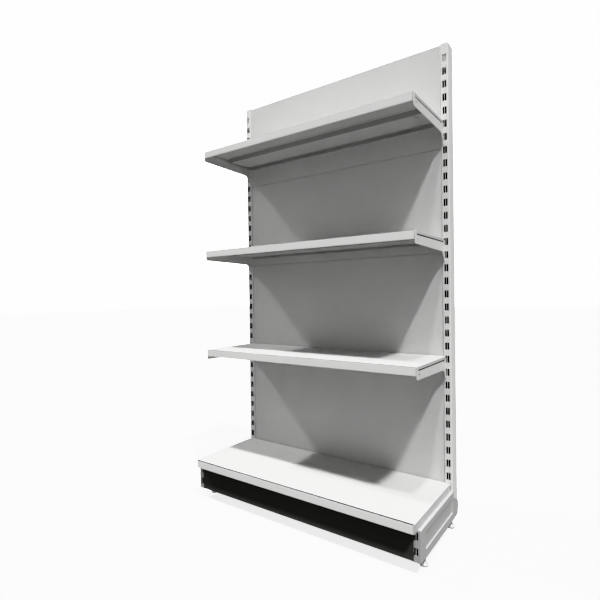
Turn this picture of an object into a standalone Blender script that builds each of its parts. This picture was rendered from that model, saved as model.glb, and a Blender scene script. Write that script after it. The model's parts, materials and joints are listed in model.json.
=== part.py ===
"""Gondola shelving unit, single-sided wall bay.

Two slotted uprights stand in pressed base legs on levelling feet. Folded back
panels and two tie beams close the rear. A base deck lies on the legs behind a
kick plate, and three shelves hang from brackets hooked in the uprights.

Units are metres, +Z up. The shopper's side faces -Y. The origin is on the
floor, at the middle of the footprint.
"""
import bpy
import bmesh
from math import radians, cos, sin, pi
from mathutils import Matrix, Vector

MM = 0.001
GAP = 0.0003                    # clearance between touching pieces

# ---- driving dimensions -------------------------------------------------
BAY = 1.000                     # upright centre to upright centre
PITCH = 0.050                   # slot pitch
SLOT_H = 0.027
SLOT_W = 0.0062
SLOT_DX = 0.0041                # each slot column's offset from the centre
SLOT_TOP = 1.820                # top edge of the highest slot
N_SLOTS = 34

UP_W, UP_D, UP_T = 0.030, 0.060, 0.002
UP_BOT, UP_TOP = 0.075, 1.858
UP_R = 0.003

LEG_HALF = 0.017                # half width over the leg
LEG_T = 0.0017
LEG_FRONT = 0.342               # leg front, ahead of the upright's front face
LEG_REAR = 0.062                # leg rear, behind the upright's front face
LEG_BOT, LEG_TOP = 0.043, 0.150
HEEL_R = 0.022

DECK_TOP = 0.180
DECK_D = 0.3663
DECK_HALF = 0.5070
DECK_T = 0.0015
BASE_STRIP_H = 0.033

SHELF_TOPS = (1.568, 1.118, 0.668)      # top, middle, lower shelf
SHELF_D = 0.306
SHELF_HALF = 0.4954
SHELF_T = 0.0012
SHELF_BACK = 0.001              # shelf's rear edge, ahead of the upright
STRIP_H = 0.030
STRIP_T = 0.0032
DECK_BACK = 0.001               # deck's rear edge, ahead of the upright
SHELF_SIDE_H = 0.011            # tray's side flange
HORN = 0.016                    # depth of the upstand at a bracket's front

BRACKET_T = 0.002
BRACKET_X = 0.4942              # bracket plate's mid plane

PANEL_HALF = 0.4846
PANEL_FRONT, PANEL_D, PANEL_T = 0.002, 0.016, 0.0012
PANEL_EDGES = (1.860, 1.463, 1.063, 0.663, 0.165)
PANEL_SEAM = 0.0012

FOOT_Y = (-0.270, 0.024)        # front and rear foot, from the upright's face
STEM_R = 0.005
PAD_R = 0.015

BEAM_Z = (1.735, 0.205)         # tie beams' middle heights
BEAM_H, BEAM_D, BEAM_T = 0.040, 0.028, 0.0015
BEAM_Y = 0.020

# The uprights' front face, placed so that the footprint's middle is at Y = 0.
BASE_FRONT = DECK_D + GAP + STRIP_T
Y0 = (BASE_FRONT - LEG_REAR) / 2

# ---- scene and helpers --------------------------------------------------
for old in list(bpy.data.objects):
    bpy.data.objects.remove(old, do_unlink=True)

parts = bpy.data.collections.new("gondola_shelving_unit")
cutters = bpy.data.collections.new("cutters")
for c in (parts, cutters):
    bpy.context.scene.collection.children.link(c)


def material(name, color, rough, metal=0.0):
    m = bpy.data.materials.new(name)
    m.use_nodes = True
    b = m.node_tree.nodes["Principled BSDF"]
    b.inputs["Base Color"].default_value = (*color, 1)
    b.inputs["Roughness"].default_value = rough
    b.inputs["Metallic"].default_value = metal
    return m


COAT = dict(
    upright=((0.74, 0.75, 0.75), 0.42), leg=((0.70, 0.71, 0.72), 0.42),
    panel=((0.66, 0.67, 0.67), 0.50), shelf=((0.78, 0.78, 0.77), 0.40),
    strip=((0.72, 0.73, 0.73), 0.38), bracket=((0.74, 0.74, 0.74), 0.42),
    beam=((0.66, 0.67, 0.67), 0.50))


def coat(name, kind):
    col, rough = COAT[kind]
    return material("mat_" + name, col, rough)


def steel(name):
    return material("mat_" + name, (0.58, 0.59, 0.60), 0.35, 1.0)


def cube_into(bm, lo, hi):
    """Add one closed box, given by two corners, to a bmesh."""
    lo, hi = Vector(lo), Vector(hi)
    size, mid = hi - lo, (hi + lo) / 2
    bmesh.ops.create_cube(bm, size=1.0, matrix=Matrix.Translation(mid)
                          @ Matrix.Diagonal((*size, 1)))


def finish_mesh(name, bm, where, coll, mat=None):
    bmesh.ops.recalc_face_normals(bm, faces=bm.faces)
    me = bpy.data.meshes.new(name)
    bm.transform(Matrix.Translation(-Vector(where)))
    bm.to_mesh(me)
    bm.free()
    ob = bpy.data.objects.new(name, me)
    ob.location = where
    coll.objects.link(ob)
    if mat:
        me.materials.append(mat)
    return ob


def as_cutter(ob):
    ob.hide_render = True
    ob.display_type = 'WIRE'
    return ob


def box(name, lo, hi, mat):
    bm = bmesh.new()
    cube_into(bm, lo, hi)
    mid = (Vector(lo) + Vector(hi)) / 2
    return finish_mesh(name, bm, mid, parts, mat)


def cut_boxes(name, pairs):
    """One cutter made of boxes that don't meet each other."""
    bm = bmesh.new()
    for lo, hi in pairs:
        cube_into(bm, lo, hi)
    return as_cutter(finish_mesh(name, bm, (0, 0, 0), cutters))


def cut_rod(name, rod_list, axis, sides=16):
    """Cutter of round rods: each (centre, radius, length) along an axis."""
    bm = bmesh.new()
    turn = {'X': Matrix.Rotation(pi / 2, 4, 'Y'), 'Z': Matrix.Identity(4),
            'Y': Matrix.Rotation(pi / 2, 4, 'X')}[axis]
    for c, r, length in rod_list:
        bmesh.ops.create_cone(bm, cap_ends=True, segments=sides, radius1=r,
                              radius2=r, depth=length,
                              matrix=Matrix.Translation(c) @ turn)
    return as_cutter(finish_mesh(name, bm, (0, 0, 0), cutters))


def prism(name, outline, x0, x1, mat=None, coll=None):
    """Extrude a (y, z) outline from x0 to x1, as a mesh."""
    cu = bpy.data.curves.new(name + "_curve", 'CURVE')
    cu.dimensions = '2D'
    cu.fill_mode = 'BOTH'
    cu.extrude = (x1 - x0) / 2
    sp = cu.splines.new('POLY')
    sp.points.add(len(outline) - 1)
    y_ref, z_ref = outline[0]
    for p, (y, z) in zip(sp.points, outline):
        p.co = (y - y_ref, z - z_ref, 0, 1)
    sp.use_cyclic_u = True
    guide = bpy.data.objects.new(name + "_curve", cu)
    guide.rotation_euler = (pi / 2, 0, pi / 2)
    guide.location = ((x0 + x1) / 2, y_ref, z_ref)
    cutters.objects.link(guide)
    bpy.context.view_layer.update()
    dg = bpy.context.evaluated_depsgraph_get()
    me = bpy.data.meshes.new_from_object(guide.evaluated_get(dg))
    bm = bmesh.new()
    bm.from_mesh(me)
    bmesh.ops.remove_doubles(bm, verts=bm.verts, dist=0.00002)
    bmesh.ops.recalc_face_normals(bm, faces=bm.faces)
    bm.to_mesh(me)
    bm.free()
    me.name = name
    me.materials.clear()
    ob = bpy.data.objects.new(name, me)
    ob.matrix_world = guide.matrix_world.copy()
    bpy.data.objects.remove(guide, do_unlink=True)
    (coll or parts).objects.link(ob)
    if mat:
        me.materials.append(mat)
    if coll is cutters:
        as_cutter(ob)
    return ob


def boolean(ob, tool, op='DIFFERENCE'):
    m = ob.modifiers.new(tool.name, 'BOOLEAN')
    m.operation = op
    m.solver = 'EXACT'
    m.object = tool
    return m


def turned(name, profile, where, mat, steps=20, turn=(0, 0, 0)):
    """A turned piece: (radius, height) points, top to bottom, as a Screw."""
    me = bpy.data.meshes.new(name)
    verts = [(r, 0, z) for r, z in profile]
    me.from_pydata(verts, [(i, i + 1) for i in range(len(verts) - 1)], [])
    me.materials.append(mat)
    ob = bpy.data.objects.new(name, me)
    ob.location = where
    ob.rotation_euler = turn
    parts.objects.link(ob)
    s = ob.modifiers.new("turn", 'SCREW')
    s.axis = 'Z'
    s.angle = 2 * pi
    s.steps = s.render_steps = steps
    s.use_merge_vertices = True
    s.merge_threshold = 0.00005
    s.use_smooth_shade = True
    return ob


def empty(name, where):
    e = bpy.data.objects.new(name, None)
    e.empty_display_size = 0.05
    e.location = where
    parts.objects.link(e)
    return e


def child(ob, parent):
    bpy.context.view_layer.update()
    ob.parent = parent
    ob.matrix_parent_inverse = parent.matrix_world.inverted()


def arc(cy, cz, r, a0, a1, n):
    """Points on an arc in the (y, z) plane, angles in degrees."""
    return [(cy + r * cos(radians(a0 + (a1 - a0) * i / n)),
             cz + r * sin(radians(a0 + (a1 - a0) * i / n)))
            for i in range(n + 1)]


SIDES = (("left", -1), ("right", 1))
HALF = BAY / 2
# Tie beam bolts and leg bolts run along X through the uprights' inner walls.
LEG_BOLT_Z = 0.104
LEG_BOLT_Y = Y0 + 0.030
BEAM_BOLT_Y = Y0 + BEAM_Y + BEAM_D / 2


def inward(s, d):
    """X of a point at distance d from the upright's centre, towards the bay."""
    return s * (HALF - d)


def ordered(a, b):
    return (a, b) if a < b else (b, a)


# ---- uprights -----------------------------------------------------------
for side, s in SIDES:
    cx = s * HALF
    up = box(f"upright_{side}", (cx - UP_W / 2, Y0, UP_BOT),
             (cx + UP_W / 2, Y0 + UP_D, UP_TOP), coat(f"upright_{side}", "upright"))
    bv = up.modifiers.new("corners", 'BEVEL')
    bv.width = UP_R
    bv.segments = 3
    bv.limit_method = 'WEIGHT'
    wl = up.data.attributes.new("bevel_weight_edge", 'FLOAT', 'EDGE')
    for e in up.data.edges:
        a, b = (up.data.vertices[v].co for v in e.vertices)
        wl.data[e.index].value = 1.0 if abs(a.z - b.z) > 0.1 else 0.0
    inner = cut_boxes(f"bore_{side}", [
        ((cx - UP_W / 2 + UP_T, Y0 + UP_T, 0), (cx + UP_W / 2 - UP_T, Y0 + UP_D - UP_T, 2))])
    boolean(up, inner)
    slots = []
    for k in range(N_SLOTS):
        zt = SLOT_TOP - PITCH * k
        for dx in (-SLOT_DX, SLOT_DX):
            slots.append(((cx + dx - SLOT_W / 2, Y0 - 0.004, zt - SLOT_H),
                          (cx + dx + SLOT_W / 2, Y0 + 0.006, zt)))
    boolean(up, cut_boxes(f"slots_{side}", slots))
    xi = inward(s, UP_W / 2)
    rods = [((xi, BEAM_BOLT_Y, z), 0.0043, 0.008) for z in BEAM_Z]
    rods.append(((xi, LEG_BOLT_Y, LEG_BOLT_Z), 0.0043, 0.008))
    boolean(up, cut_rod(f"upright_holes_{side}", rods, 'X', 12))

    # End cap: a lid with a hollow plug that fills the tube's top.
    w, y_a, y_b = UP_W / 2 - UP_T - GAP, Y0 + UP_T + GAP, Y0 + UP_D - UP_T - GAP
    cap = box(f"upright_cap_{side}", (cx - UP_W / 2, Y0, UP_TOP + GAP),
              (cx + UP_W / 2, Y0 + UP_D, UP_TOP + 0.005),
              material(f"mat_upright_cap_{side}", (0.85, 0.85, 0.84), 0.5))
    bv = cap.modifiers.new("edges", 'BEVEL')
    bv.width = 0.0018
    bv.segments = 2
    bv.limit_method = 'ANGLE'
    plug = cut_boxes(f"plug_{side}", [((cx - w, y_a, 1.766), (cx + w, y_b, UP_TOP + 0.002))])
    boolean(cap, plug, 'UNION')
    boolean(cap, cut_boxes(f"plug_core_{side}", [
        ((cx - w + 0.002, y_a + 0.002, 1.75), (cx + w - 0.002, y_b - 0.002, UP_TOP - 0.002))]))

    # ---- base leg ---------------------------------------------------------
    yf, yr = Y0 - LEG_FRONT, Y0 + LEG_REAR
    heel = arc(yr - HEEL_R, LEG_BOT + HEEL_R, HEEL_R, -90, 0, 6)
    side_outline = [(yf, LEG_TOP), (yf, LEG_BOT)] + heel + [
        (yr, 0.096), (Y0 + 0.006, 0.128), (Y0 + 0.006, LEG_TOP)]
    leg = prism(f"base_leg_{side}", side_outline, cx - LEG_HALF, cx + LEG_HALF,
                coat(f"base_leg_{side}", "leg"))
    t = LEG_T
    bore = [(yf + t, LEG_TOP - t), (yf + t, LEG_BOT + t)] + arc(
        yr - HEEL_R, LEG_BOT + HEEL_R, HEEL_R - t, -90, 0, 6) + [
        (yr - t, 0.2), (Y0 - GAP, 0.2), (Y0 - GAP, LEG_TOP - t)]
    boolean(leg, prism(f"leg_bore_{side}", bore, cx - LEG_HALF + t, cx + LEG_HALF - t,
                       coll=cutters))
    # Pressed panel on the outer side: a pad behind the skin, then a drafted
    # pocket through it.
    ox = cx + s * LEG_HALF
    pad_lo, pad_hi = ordered(ox - s * 0.0058, ox - s * 0.0008)
    boolean(leg, cut_boxes(f"leg_pad_{side}", [
        ((pad_lo, Y0 - 0.306, 0.066), (pad_hi, Y0 - 0.0035, 0.131))]), 'UNION')
    bm = bmesh.new()
    depth = 0.004
    vs = bmesh.ops.create_cube(bm, size=1.0)["verts"]
    for v in vs:
        deep = (v.co.x * s) < 0
        inset = 0.005 if deep else -0.005
        v.co.y = (Y0 - 0.301 + inset) if v.co.y < 0 else (Y0 - 0.008 - inset)
        v.co.z = (0.071 + inset) if v.co.z < 0 else (0.126 - inset)
        v.co.x = ox - s * depth if deep else ox + s * depth
    boolean(leg, as_cutter(finish_mesh(f"leg_pocket_{side}", bm, (0, 0, 0), cutters)))
    front_slots = []
    for zt in (0.141, 0.091):
        for dx in (-SLOT_DX, SLOT_DX):
            front_slots.append(((cx + dx - SLOT_W / 2, yf - 0.004, zt - 0.025),
                                (cx + dx + SLOT_W / 2, yf + 0.004, zt)))
    boolean(leg, cut_boxes(f"leg_slots_{side}", front_slots))
    boolean(leg, cut_rod(f"leg_stem_holes_{side}", [
        ((cx, Y0 + fy, LEG_BOT), STEM_R + 0.0004, 0.012) for fy in FOOT_Y], 'Z', 20))
    boolean(leg, cut_rod(f"leg_bolt_hole_{side}", [
        ((inward(s, LEG_HALF), LEG_BOLT_Y, LEG_BOLT_Z), 0.0043, 0.008)], 'X', 12))

    # Bolt from the bay side through the sleeve and the upright's inner wall.
    turned(f"leg_bolt_{side}",
           [(0, 0.0044), (0.005, 0.0044), (0.0065, 0.003), (0.0065, GAP),
            (0.004, GAP), (0.004, -0.011), (0.003, -0.012), (0, -0.012)],
           (inward(s, LEG_HALF), LEG_BOLT_Y, LEG_BOLT_Z),
           steel(f"leg_bolt_{side}"), 16, (0, -s * pi / 2, 0))

    # ---- levelling feet -----------------------------------------------------
    for place, fy in zip(("front", "rear"), FOOT_Y):
        c = (cx, Y0 + fy, 0)
        axis = empty(f"foot_axis_{place}_{side}", c)
        pad = turned(f"foot_pad_{place}_{side}",
                     [(0, 0.009), (0.0054, 0.009), (0.0054, 0.0145), (0.0085, 0.0145),
                      (0.0105, 0.011), (0.014, 0.0085), (PAD_R, 0.0065), (PAD_R, 0.0015),
                      (0.0138, 0), (0, 0)], c,
                     material(f"mat_foot_pad_{place}_{side}", (0.86, 0.87, 0.86), 0.35), 24)
        stem = turned(f"foot_stem_{place}_{side}",
                      [(0, 0.068), (0.0042, 0.068), (STEM_R, 0.067), (STEM_R, 0.0093),
                       (0, 0.0093)], c, steel(f"foot_stem_{place}_{side}"), 16)
        child(pad, axis)
        child(stem, axis)
        bm = bmesh.new()
        z_n = LEG_BOT + LEG_T + GAP
        bmesh.ops.create_cone(bm, cap_ends=True, segments=6, radius1=0.0098,
                              radius2=0.0098, depth=0.008,
                              matrix=Matrix.Translation((c[0], c[1], z_n + 0.004)))
        nut = finish_mesh(f"foot_nut_{place}_{side}", bm, (c[0], c[1], z_n + 0.004),
                          parts, steel(f"foot_nut_{place}_{side}"))
        boolean(nut, cut_rod(f"nut_bore_{place}_{side}", [
            ((c[0], c[1], z_n + 0.004), STEM_R + 0.0003, 0.02)], 'Z', 16))

# ---- back panels: skins with edges turned back ---------------------------
for i in range(4):
    z1, z0 = PANEL_EDGES[i], PANEL_EDGES[i + 1] + PANEL_SEAM
    ya, yb = Y0 + PANEL_FRONT, Y0 + PANEL_FRONT + PANEL_D
    pan = box(f"back_panel_{i + 1}", (-PANEL_HALF, ya, z0), (PANEL_HALF, yb, z1),
              coat(f"back_panel_{i + 1}", "panel"))
    t = PANEL_T
    boolean(pan, cut_boxes(f"panel_back_{i + 1}", [
        ((-PANEL_HALF + t, ya + t, z0 + t), (PANEL_HALF - t, yb + 0.01, z1 - t))]))

# ---- tie beams: channels open to the rear, with closed ends ---------------
for beam_name, z in (("tie_beam_top", BEAM_Z[0]), ("tie_beam_bottom", BEAM_Z[1])):
    ya, yb = Y0 + BEAM_Y, Y0 + BEAM_Y + BEAM_D
    xe = HALF - UP_W / 2 - GAP
    beam = box(beam_name, (-xe, ya, z - BEAM_H / 2), (xe, yb, z + BEAM_H / 2),
               coat(beam_name, "beam"))
    t = BEAM_T
    boolean(beam, cut_boxes(beam_name + "_channel", [
        ((-xe + t, ya + t, z - BEAM_H / 2 + t), (xe - t, yb + 0.01, z + BEAM_H / 2 - t))]))
    boolean(beam, cut_rod(beam_name + "_holes", [
        ((sx * xe, BEAM_BOLT_Y, z), 0.0043, 0.006) for sx in (-1, 1)], 'X', 12))
    for side, s in SIDES:
        turned(f"{beam_name.replace('tie_', '')}_bolt_{side}",
               [(0, 0.0054), (0.005, 0.0054), (0.0065, 0.004), (0.0065, GAP),
                (0.004, GAP), (0.004, -0.009), (0.003, -0.010), (0, -0.010)],
               (s * (xe - t), BEAM_BOLT_Y, z),
               steel(f"{beam_name}_bolt_{side}"), 16, (0, -s * pi / 2, 0))


# ---- folded trays, stiffeners and price strips -----------------------------
def hat(name, y_mid, z_under, half, mat, brim=0.035, crown=0.0206, run=0.0047, deep=0.012):
    """Hat-section stiffener; its brims meet the sheet above at z_under."""
    t, top = 0.001, z_under - GAP
    k = t * (1 + (run / deep) ** 2) ** 0.5 - t * run / deep     # keeps the walls t thick
    up_path = [(brim, 0), (crown, 0), (crown - run, -deep + t), (-crown + run, -deep + t),
               (-crown, 0), (-brim, 0)]
    low_path = [(-brim, -t), (-crown - k, -t), (-crown + run - k, -deep),
                (crown - run + k, -deep), (crown + k, -t), (brim, -t)]
    pts = [(y_mid + y, top + z) for y, z in up_path + low_path]
    return prism(name, pts, -half, half, mat)


def price_strip(name, y_face, z_top, height, half, mat):
    """Ticket sleeve: a back plate and a flat front plate joined along the bottom."""
    t, d = 0.0010, STRIP_T
    yb = y_face - GAP
    yf = yb - d
    zt, zb = z_top, z_top - height
    lip = zt - 0.0018                       # the front plate stops below the back plate
    pts = [(yb, zt), (yb, zb), (yf + 0.0008, zb), (yf, zb + 0.0008), (yf, lip - 0.0003),
           (yf + 0.0003, lip), (yf + t, lip), (yf + t, zb + t + 0.0002),
           (yb - t, zb + t + 0.0002), (yb - t, zt)]
    return prism(name, pts, -half, half, mat)


def tray(name, half, y_front, y_rear, z_top, t, side_h, front_h, rear_h, mat, clear=None):
    """Sheet folded down on four sides, each flange with its own depth.

    clear is the X where a bracket's plate starts: the front and side flanges
    are cut away outside it along the bracket's upstand, and the rear flange
    is cut away outside it below the side flange's edge.
    """
    deep = max(side_h, front_h, rear_h)
    ob = box(name, (-half, y_front, z_top - deep), (half, y_rear, z_top), mat)
    boolean(ob, cut_boxes(name + "_inside", [
        ((-half + t, y_front + t, z_top - deep - 0.01), (half - t, y_rear - t, z_top - t))]))
    if side_h < deep:
        boolean(ob, cut_boxes(name + "_sides", [
            ((-half - 0.01, y_front + t + 0.0005, z_top - deep - 0.01),
             (half + 0.01, y_rear + 0.01 if rear_h <= side_h else y_rear - t - 0.0005,
              z_top - side_h))]))
    if side_h < rear_h < deep:
        boolean(ob, cut_boxes(name + "_rear", [
            ((-half - 0.01, y_rear - 0.006, z_top - deep - 0.01),
             (half + 0.01, y_rear + 0.01, z_top - rear_h))]))
    if clear:
        low = z_top - deep - 0.02
        boolean(ob, cut_boxes(name + "_horn_notches", [
            (ordered_x(sx, clear, half + 0.01, y_front - 0.01, low),
             ordered_x(sx, half + 0.01, clear, y_front + HORN + 0.0015, z_top - t))
            for sx in (-1, 1)]))
        boolean(ob, cut_boxes(name + "_rear_notches", [
            (ordered_x(sx, clear, half + 0.01, y_rear - 0.013, low),
             ordered_x(sx, half + 0.01, clear, y_rear + 0.01, z_top - side_h))
            for sx in (-1, 1)]))
        boolean(ob, cut_boxes(name + "_rear_corners", [
            (ordered_x(sx, clear, half + 0.01, Y0 - 0.0060, low),
             ordered_x(sx, half + 0.01, clear, y_rear + 0.01, z_top + 0.01))
            for sx in (-1, 1)]))
    return ob


def ordered_x(sx, at_right, at_left, y, z):
    """A box corner: X is at_right on the right side, and its mirror's value on the left."""
    return (at_right if sx > 0 else -at_left, y, z)


# Base deck: its side flanges stand on the legs' top plates.
side_h = DECK_TOP - LEG_TOP - GAP
deck_axis = empty("deck_lift", (0, Y0 - DECK_D / 2, DECK_TOP))
deck = tray("base_deck", DECK_HALF, Y0 - DECK_D, Y0 - DECK_BACK, DECK_TOP, DECK_T,
            side_h, BASE_STRIP_H + 0.0005, side_h, coat("base_deck", "shelf"))
deck_strip = price_strip("base_price_strip", Y0 - DECK_D, DECK_TOP - 0.0015, BASE_STRIP_H,
                         0.5010, coat("base_price_strip", "strip"))
deck_hats = [hat(f"deck_stiffener_{n}", Y0 + y, DECK_TOP - DECK_T, 0.478,
                 coat(f"deck_stiffener_{n}", "shelf"), deep=0.016)
             for n, y in (("front", -0.255), ("rear", -0.115))]
for ob in [deck, deck_strip] + deck_hats:
    child(ob, deck_axis)

# Upper shelves.
EDGE = BRACKET_X - BRACKET_T / 2
for n, zt in enumerate(SHELF_TOPS, 1):
    hang = empty(f"bracket_lift_{n}", (0, Y0, zt))
    lift = empty(f"tray_lift_{n}", (0, Y0 - SHELF_D / 2, zt))
    child(lift, hang)
    sh = tray(f"shelf_tray_{n}", SHELF_HALF, Y0 - SHELF_D, Y0 - SHELF_BACK, zt, SHELF_T,
              SHELF_SIDE_H, 0.0295, 0.020, coat(f"shelf_tray_{n}", "shelf"),
              clear=EDGE - 0.0004)
    st = hat(f"shelf_stiffener_{n}", Y0 - 0.098, zt - SHELF_T, 0.478,
             coat(f"shelf_stiffener_{n}", "shelf"), 0.084, 0.074, 0.022, 0.013)
    ps = price_strip(f"price_strip_{n}", Y0 - SHELF_D, zt - 0.0005, STRIP_H,
                     EDGE - 0.0008, coat(f"price_strip_{n}", "strip"))
    for ob in (sh, st, ps):
        child(ob, lift)
    # Bracket outline, in (y from the upright's face, z from the shelf's top).
    a, b = SLOT_H - 0.002, PITCH + SLOT_H - 0.002      # slot bottoms below the top
    # Slot tops lie 2 mm above the shelf's top, so a hook's neck seats here:
    s1, s2 = -a + GAP, -b + GAP
    rear = -0.0004
    seat = -SHELF_SIDE_H - GAP              # the tray's side flange stands here
    front = -SHELF_D + 0.0004
    outline = [(front, -SHELF_T - GAP), (front, -0.0405), (front + 0.0035, -0.0445),
               (-0.0400, -0.0500), (-0.0310, -0.0512), (-0.0240, -0.0548),
               (-0.0185, -0.0610), (-0.0140, -0.0690), (-0.0095, -0.0772),
               (-0.0055, -0.0832), (rear, -0.0880),
               (rear, s2), (0.0023, s2), (0.0023, s2 - 0.0068), (0.0050, s2 - 0.0055),
               (0.0050, s2 + 0.0165), (0.0035, s2 + 0.0185), (rear, s2 + 0.0185),
               (rear, s1), (0.0023, s1), (0.0023, s1 - 0.0068), (0.0050, s1 - 0.0055),
               (0.0050, s1 + 0.0165), (0.0035, s1 + 0.0185), (-0.0054, s1 + 0.0185),
               (-0.0054, seat), (-0.0200, seat), (-0.0200, seat - 0.0015),
               (front + HORN, seat - 0.0015), (front + HORN, -SHELF_T - GAP)]
    pts = [(Y0 + y, zt + z) for y, z in outline]
    for side, s in SIDES:
        x0, x1 = s * BRACKET_X - BRACKET_T / 2, s * BRACKET_X + BRACKET_T / 2
        br = prism(f"bracket_{n}_{side}", pts, x0, x1, coat(f"bracket_{n}_{side}", "bracket"))
        stud_at = (s * BRACKET_X, Y0 - 0.284, zt - 0.0270)
        boolean(br, cut_rod(f"stud_hole_{n}_{side}", [(stud_at, 0.0023, 0.01)], 'X', 12))
        child(br, hang)
        stud = turned(f"bracket_stud_{n}_{side}",
                      [(0, 0.0032), (0.0018, 0.0031), (0.0032, 0.0022), (0.0032, 0.0010 + GAP),
                       (0.0020, 0.0010 + GAP), (0.0020, -0.0014), (0, -0.0014)],
                      stud_at, steel(f"bracket_stud_{n}_{side}"), 12, (0, s * pi / 2, 0))
        child(stud, hang)

# ---- kick plate -------------------------------------------------------------
yk = Y0 - LEG_FRONT - GAP                 # rear face of the sheet
zb, zt = 0.045, 0.146
t = 0.0012
kick_axis = empty("kick_plate_lift", (0, yk, zb))
kick_outline = [(yk + 0.012, zt), (yk - t, zt), (yk - t - 0.0035, zt - 0.029),
                (yk - t, zt - 0.033), (yk - t, zb), (yk + 0.012, zb), (yk + 0.012, zb + t),
                (yk, zb + t), (yk, zt - 0.0335), (yk - 0.0032, zt - 0.0293), (yk, zt - t),
                (yk + 0.012, zt - t)]
kick = prism("kick_plate", kick_outline, -0.492, 0.492,
             material("mat_kick_plate", (0.012, 0.012, 0.012), 0.45))
leg_in = HALF - LEG_HALF - GAP
boolean(kick, cut_boxes("kick_ends", [
    ((-0.51, yk + 0.0001, 0), (-leg_in, yk + 0.02, 0.2)),
    ((leg_in, yk + 0.0001, 0), (0.51, yk + 0.02, 0.2))]))
# Tabs: a web across the sheet's end, a neck through the leg's slot, and a lip.
tab_x = (0.4942, 0.4954)
for row, slot_top in enumerate((0.141, 0.091)):
    z_seat = slot_top - 0.025 + GAP
    for side, s in SIDES:
        xa, xb = ordered(s * 0.488, s * tab_x[1])
        na, nb = ordered(s * tab_x[0], s * tab_x[1])
        web_front = yk - 0.0030 if row == 0 else yk - t + 0.0002
        web = cut_boxes(f"kick_web_{row}_{side}", [
            ((xa, web_front, z_seat), (xb, yk - 0.0001, z_seat + 0.011))])
        outline = [(yk - 0.0004, z_seat), (yk + LEG_T + 2 * GAP, z_seat),
                   (yk + LEG_T + 2 * GAP, z_seat - 0.006), (yk + 0.0045, z_seat - 0.005),
                   (yk + 0.0045, z_seat + 0.009), (yk - 0.0004, z_seat + 0.0105)]
        boolean(kick, web, 'UNION')
        boolean(kick, prism(f"kick_hook_{row}_{side}", outline, na + 0.0001, nb - 0.0001,
                            coll=cutters), 'UNION')
child(kick, kick_axis)
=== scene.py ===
"""Visual model of a single-sided gondola shelving bay, built around its CAD frame.

Metres, +Z up, the shopper's side faces -Y. Every shown piece is rebuilt here from
bent sheet, turned or moulded forms with their real radii, and rides on its CAD body.
"""
import json
import bpy
import bmesh
from math import sin, cos, tan, pi, radians, sqrt, atan2
from mathutils import Matrix, Vector

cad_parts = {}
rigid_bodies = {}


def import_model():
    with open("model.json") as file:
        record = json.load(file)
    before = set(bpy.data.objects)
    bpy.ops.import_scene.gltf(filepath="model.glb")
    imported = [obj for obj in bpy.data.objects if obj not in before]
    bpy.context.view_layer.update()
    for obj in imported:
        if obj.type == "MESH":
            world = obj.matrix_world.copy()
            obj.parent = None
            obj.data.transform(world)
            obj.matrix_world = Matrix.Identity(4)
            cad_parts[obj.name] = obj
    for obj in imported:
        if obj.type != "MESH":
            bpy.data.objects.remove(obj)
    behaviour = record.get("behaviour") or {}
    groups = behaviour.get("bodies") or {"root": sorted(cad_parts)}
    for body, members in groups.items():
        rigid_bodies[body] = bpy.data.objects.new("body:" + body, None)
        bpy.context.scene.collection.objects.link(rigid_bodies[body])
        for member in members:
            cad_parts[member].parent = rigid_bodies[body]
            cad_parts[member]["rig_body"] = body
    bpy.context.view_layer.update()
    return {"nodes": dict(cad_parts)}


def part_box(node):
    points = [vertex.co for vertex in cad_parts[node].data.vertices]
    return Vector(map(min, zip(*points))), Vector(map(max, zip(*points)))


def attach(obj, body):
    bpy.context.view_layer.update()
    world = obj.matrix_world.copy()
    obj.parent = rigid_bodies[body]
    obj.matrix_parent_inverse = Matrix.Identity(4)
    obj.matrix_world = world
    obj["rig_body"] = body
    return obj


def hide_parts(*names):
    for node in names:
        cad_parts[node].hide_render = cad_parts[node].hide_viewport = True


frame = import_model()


scene = bpy.context.scene

# ---- dimensions read from the frame -----------------------------------------
up_lo, up_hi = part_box("upright_right")
cap_lo, cap_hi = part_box("upright_cap_right")
Y0 = up_lo.y                            # uprights' front face
HALF = (up_lo.x + up_hi.x) / 2          # upright centre
PITCH, SLOT_H, SLOT_W, SLOT_DX = 0.050, 0.027, 0.0062, 0.0041
SLOT_TOP, N_SLOTS = 1.820, 34
SIDES = (("left", -1), ("right", 1))
GAP = 0.0003

work = bpy.data.collections.new("cutters")
scene.collection.children.link(work)
work.hide_render = True
made = []


# ---- mesh helpers -------------------------------------------------------------
def new_object(name, bm, coll=None):
    me = bpy.data.meshes.new(name)
    bmesh.ops.recalc_face_normals(bm, faces=bm.faces)
    bm.to_mesh(me)
    bm.free()
    ob = bpy.data.objects.new(name, me)
    (coll or scene.collection).objects.link(ob)
    return ob


def bevel_edges(bm, edges, radius, segments):
    if edges:
        bmesh.ops.bevel(bm, geom=list(edges), offset=radius, segments=segments,
                        profile=0.5, affect='EDGES', clamp_overlap=True)


def rounded_box(lo, hi, radii=None, all_r=0.0, segments=4):
    """A box whose edges along each named direction set are rounded.

    radii is a list of (test, radius, segments); test takes an edge's two
    corner positions, as -1 or 1 on each axis.
    """
    bm = bmesh.new()
    bmesh.ops.create_cube(bm, size=2.0)
    signs = {v: v.co.copy() for v in bm.verts}
    groups = []
    for test, r, n in (radii or []):
        groups.append(([e for e in bm.edges
                        if test(signs[e.verts[0]], signs[e.verts[1]])], r, n))
    mid = (Vector(lo) + Vector(hi)) / 2
    half = (Vector(hi) - Vector(lo)) / 2
    for v in bm.verts:
        v.co = Vector((mid.x + v.co.x * half.x, mid.y + v.co.y * half.y,
                       mid.z + v.co.z * half.z))
    if all_r:
        bevel_edges(bm, bm.edges[:], all_r, segments)
    else:
        for edges, r, n in groups:
            bevel_edges(bm, [e for e in edges if e.is_valid], r, n)
    return bm


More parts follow.
